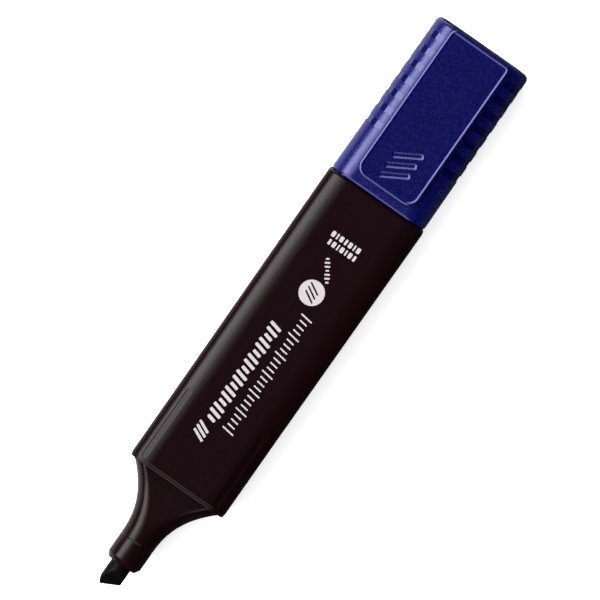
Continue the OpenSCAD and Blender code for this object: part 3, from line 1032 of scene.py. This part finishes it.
# Rows of printed strokes, in millimetres: how many, where the first one is from the front rim and
# from the middle, the step to the next, their width, their usual length, the length of the first
# and of every third or fourth after it, and their slant in degrees
STROKE_ROWS = (
    (3, (12.6, 2.6), (1.15, 0), 0.62, 3.5, 3.5, 3, -25),
    (18, (17.4, 2.3), (1.5, 0), 0.78, 3.2, 2.2, 3, -14),
    (25, (17.2, -2.4), (1.3, 0), 0.36, 2.1, 3.2, 4, -8),
    (7, (57.7, -1.5), (0.76, 0.49), 0.4, 1.25, 0.8, 3, 33),
)
# Rows of printed dashes: their place from the rim, the row's left end, and each dash's width
DASH_ROWS = (
    (67.7, 4.0, (0.9, 0.4, 0.9, 0.6, 0.9, 0.4, 0.9)),
    (65.7, 3.6, (0.6, 0.9, 0.4, 0.9, 0.4, 0.9, 0.6)),
)
DASH_LENGTH = 1.4
DASH_GAP = 0.45
DISC_PLACE = 53.85
DISC_RADIUS = 3.0


class HIGHLIGHTER_OT_print(bpy.types.Operator):
    """Prints plain strokes, a disc and dashes on the front face, with no lettering"""
    bl_idname = "highlighter.print"
    bl_label = "Print"

    def execute(self, context):
        settings = context.scene.highlighter.ink
        low_z = BARREL[1].z - settings.thickness / 2
        high_z = BARREL[1].z + settings.thickness / 2
        rim = BARREL[0].x

        def bar(x, y, size, slant=0.0):
            marks.append(stroke("mark", (rim + x * MM, y * MM), (size[0] * MM, size[1] * MM),
                                math.radians(slant), low_z, high_z))

        marks = []
        for count, start, step, width, usual, other, every, slant in STROKE_ROWS:
            for i in range(count):
                bar(start[0] + step[0] * i, start[1] + step[1] * i,
                    (width, usual if i % every else other), slant)
        for x, y, widths in DASH_ROWS:
            for width in widths:
                bar(x, y - width / 2, (DASH_LENGTH, width))
                y -= width + DASH_GAP
        marks.append(self.slotted_disc(rim + DISC_PLACE * MM, DISC_RADIUS * MM, low_z, high_z))
        piece = join("printed_marks", marks)
        finish_piece(piece, "barrel", screen_ink(settings), "barrel_plastic")
        return {"FINISHED"}

    def slotted_disc(self, x, radius, low_z, high_z):
        """A printed disc with three slanted slots."""
        deselect_objects()
        bpy.ops.mesh.primitive_cylinder_add(vertices=96, radius=radius, depth=high_z - low_z,
                                            location=(x, 0, (low_z + high_z) / 2))
        disc = name_piece("disc")
        for i in (-1, 0, 1):
            slot = stroke("slot", (x + 1.1 * i * MM, 0), (0.4 * MM, 3.4 * MM), math.radians(-30),
                          low_z - MM, high_z + MM)
            combine(disc, slot)
        return disc


# ---------------------------------------------------------------- studio


def aim(thing, target, roll_from):
    """Turns a light or a camera to face a point, with its top towards roll_from."""
    back = (thing.location - target).normalized()
    right = roll_from.cross(back).normalized()
    up = back.cross(right)
    thing.rotation_euler = Matrix((right, up, back)).transposed().to_euler()


def add_softbox(name, place, target, size, power):
    """A rectangular white light that the camera doesn't see."""
    lamp = bpy.data.lights.new(name, "AREA")
    lamp.shape = "RECTANGLE"
    lamp.size, lamp.size_y = size
    lamp.energy = power
    box = bpy.data.objects.new(name, lamp)
    bpy.context.scene.collection.objects.link(box)
    box.location = place
    aim(box, target, Vector((1, 0, 0)))
    box.visible_camera = False
    return box


# Each light's name, its side, its angle from straight up in degrees, its size in metres and its power.
# Three strips side by side make one softbox that fades towards the top.
STUDIO_LIGHTS = (
    ("key_box", (0, 1, 0), 49, (0.466, 2.4), 23),
    ("fade_box", (0, 1, 0), 32.5, (0.231, 2.4), 7.5),
    ("faint_box", (0, 1, 0), 20.5, (0.273, 2.4), 2.4),
    ("end_strip", (-1, 0, 0), 50, (1.0, 0.3), 3.0),
    ("top_light", (0, 1, 0), 22, (1.8, 3.0), 27),
)


LIGHT_DISTANCE = 1.2
# How far the camera aims beside the pen's middle
AIM_RIGHT = 1.17 * MM
AIM_UP = 3.78 * MM


class HIGHLIGHTER_OT_stage(bpy.types.Operator):
    """Adds the floor, the soft lights and the camera"""
    bl_idname = "highlighter.stage"
    bl_label = "Stage"

    def execute(self, context):
        settings = context.scene.highlighter.stage
        self.add_floor(settings)
        self.add_lights(context.scene)
        self.add_camera(context.scene, settings)
        return {"FINISHED"}

    def add_floor(self, settings):
        deselect_objects()
        bpy.ops.mesh.primitive_plane_add(size=settings.floor_size, location=(0, 0, -0.02 * MM))
        floor = name_piece("studio_floor")
        floor.data.materials.append(studio_board(settings))
        floor.visible_glossy = False

    def add_lights(self, scene):
        middle_point = Vector((0, 0, MID_Z))
        for name, way, angle, size, power in STUDIO_LIGHTS:
            turn = math.radians(angle)
            way_up = Vector(way) * math.sin(turn) + Vector((0, 0, math.cos(turn)))
            place = middle_point + way_up * LIGHT_DISTANCE
            box = add_softbox(name, place, middle_point, size, power)
            box.visible_glossy = name != "top_light"
        self.add_surroundings(scene)
        scene.view_settings.view_transform = "Standard"

    def add_surroundings(self, scene):
        """A dark studio, but for a white table's edge that glossy sides reflect at the lower left."""
        world = bpy.data.worlds.new("studio")
        world.use_nodes = True
        scene.world = world
        tree = world.node_tree
        way = add_node(tree, "ShaderNodeTexCoord").outputs["Generated"]
        parts = add_node(tree, "ShaderNodeSeparateXYZ", {"Vector": way})
        left = add_node(tree, "ShaderNodeMapRange", {"Value": parts.outputs["Y"], "From Min": 0.05,
                                                     "From Max": 0.25, "To Min": 0.04, "To Max": 1.0})
        low = add_node(tree, "ShaderNodeMapRange", {"Value": parts.outputs["Z"], "From Min": 0.0,
                                                    "From Max": -0.15, "To Min": 0.002, "To Max": 1.0})
        glow = add_node(tree, "ShaderNodeMath", {0: left.outputs["Result"], 1: low.outputs["Result"]},
                        operation="MULTIPLY")
        fill_inputs(tree, tree.nodes["Background"], {"Color": linear("#ffffff"),
                                                     "Strength": glow.outputs["Value"]})

    def add_camera(self, scene, settings):
        back = Vector((math.tan(settings.lean_along), math.tan(settings.lean_across), 1)).normalized()
        along = (Vector((1, 0, 0)) - back * back.x).normalized()
        across = back.cross(along)
        turn = settings.roll
        right = along * math.cos(turn) - across * math.sin(turn)
        up = along * math.sin(turn) + across * math.cos(turn)
        lens = bpy.data.cameras.new("camera")
        lens.lens = settings.lens
        distance = settings.frame_width * lens.lens / lens.sensor_width
        camera = bpy.data.objects.new("camera", lens)
        scene.collection.objects.link(camera)
        target = Vector((0, 0, MID_Z)) + right * AIM_RIGHT + up * AIM_UP
        camera.location = target + back * distance
        camera.rotation_euler = Matrix((right, up, back)).transposed().to_euler()
        lens.clip_start = 0.1
        lens.clip_end = 100
        scene.camera = camera


class HIGHLIGHTER_PT_panel(bpy.types.Panel):
    """Lists the highlighter's pieces and its stage in the sidebar"""
    bl_idname = "HIGHLIGHTER_PT_panel"
    bl_label = "Highlighter"
    bl_space_type = "VIEW_3D"
    bl_region_type = "UI"
    bl_category = "Highlighter"

    def draw(self, context):
        settings = context.scene.highlighter
        for operator in OPERATORS:
            self.layout.operator(operator.bl_idname)
        for group in (settings.barrel, settings.nose, settings.nib, settings.cap, settings.clip,
                      settings.ink, settings.stage):
            box = self.layout.box()
            for key in group.__annotations__:
                box.prop(group, key)


GROUPS = (BarrelSettings, NoseSettings, NibSettings, CapSettings, ClipSettings, PrintSettings,
          StageSettings, HighlighterSettings)
OPERATORS = (HIGHLIGHTER_OT_stage, HIGHLIGHTER_OT_barrel, HIGHLIGHTER_OT_nose,
             HIGHLIGHTER_OT_nib_holder, HIGHLIGHTER_OT_nib, HIGHLIGHTER_OT_reservoir,
             HIGHLIGHTER_OT_rear_plug, HIGHLIGHTER_OT_cap, HIGHLIGHTER_OT_cap_seal,
             HIGHLIGHTER_OT_clip, HIGHLIGHTER_OT_print)
CLASSES = (*GROUPS, *OPERATORS, HIGHLIGHTER_PT_panel)


def register():
    """Adds the classes and the scene's settings."""
    for made in CLASSES:
        bpy.utils.register_class(made)
    bpy.types.Scene.highlighter = PointerProperty(type=HighlighterSettings)


def unregister():
    """Removes the scene's settings and the classes."""
    del bpy.types.Scene.highlighter
    for made in reversed(CLASSES):
        bpy.utils.unregister_class(made)


def main():
    """Builds the stage and every piece."""
    register()
    for operator in OPERATORS:
        group, name = operator.bl_idname.split(".")
        getattr(getattr(bpy.ops, group), name)()


if __name__ == "__main__":
    main()
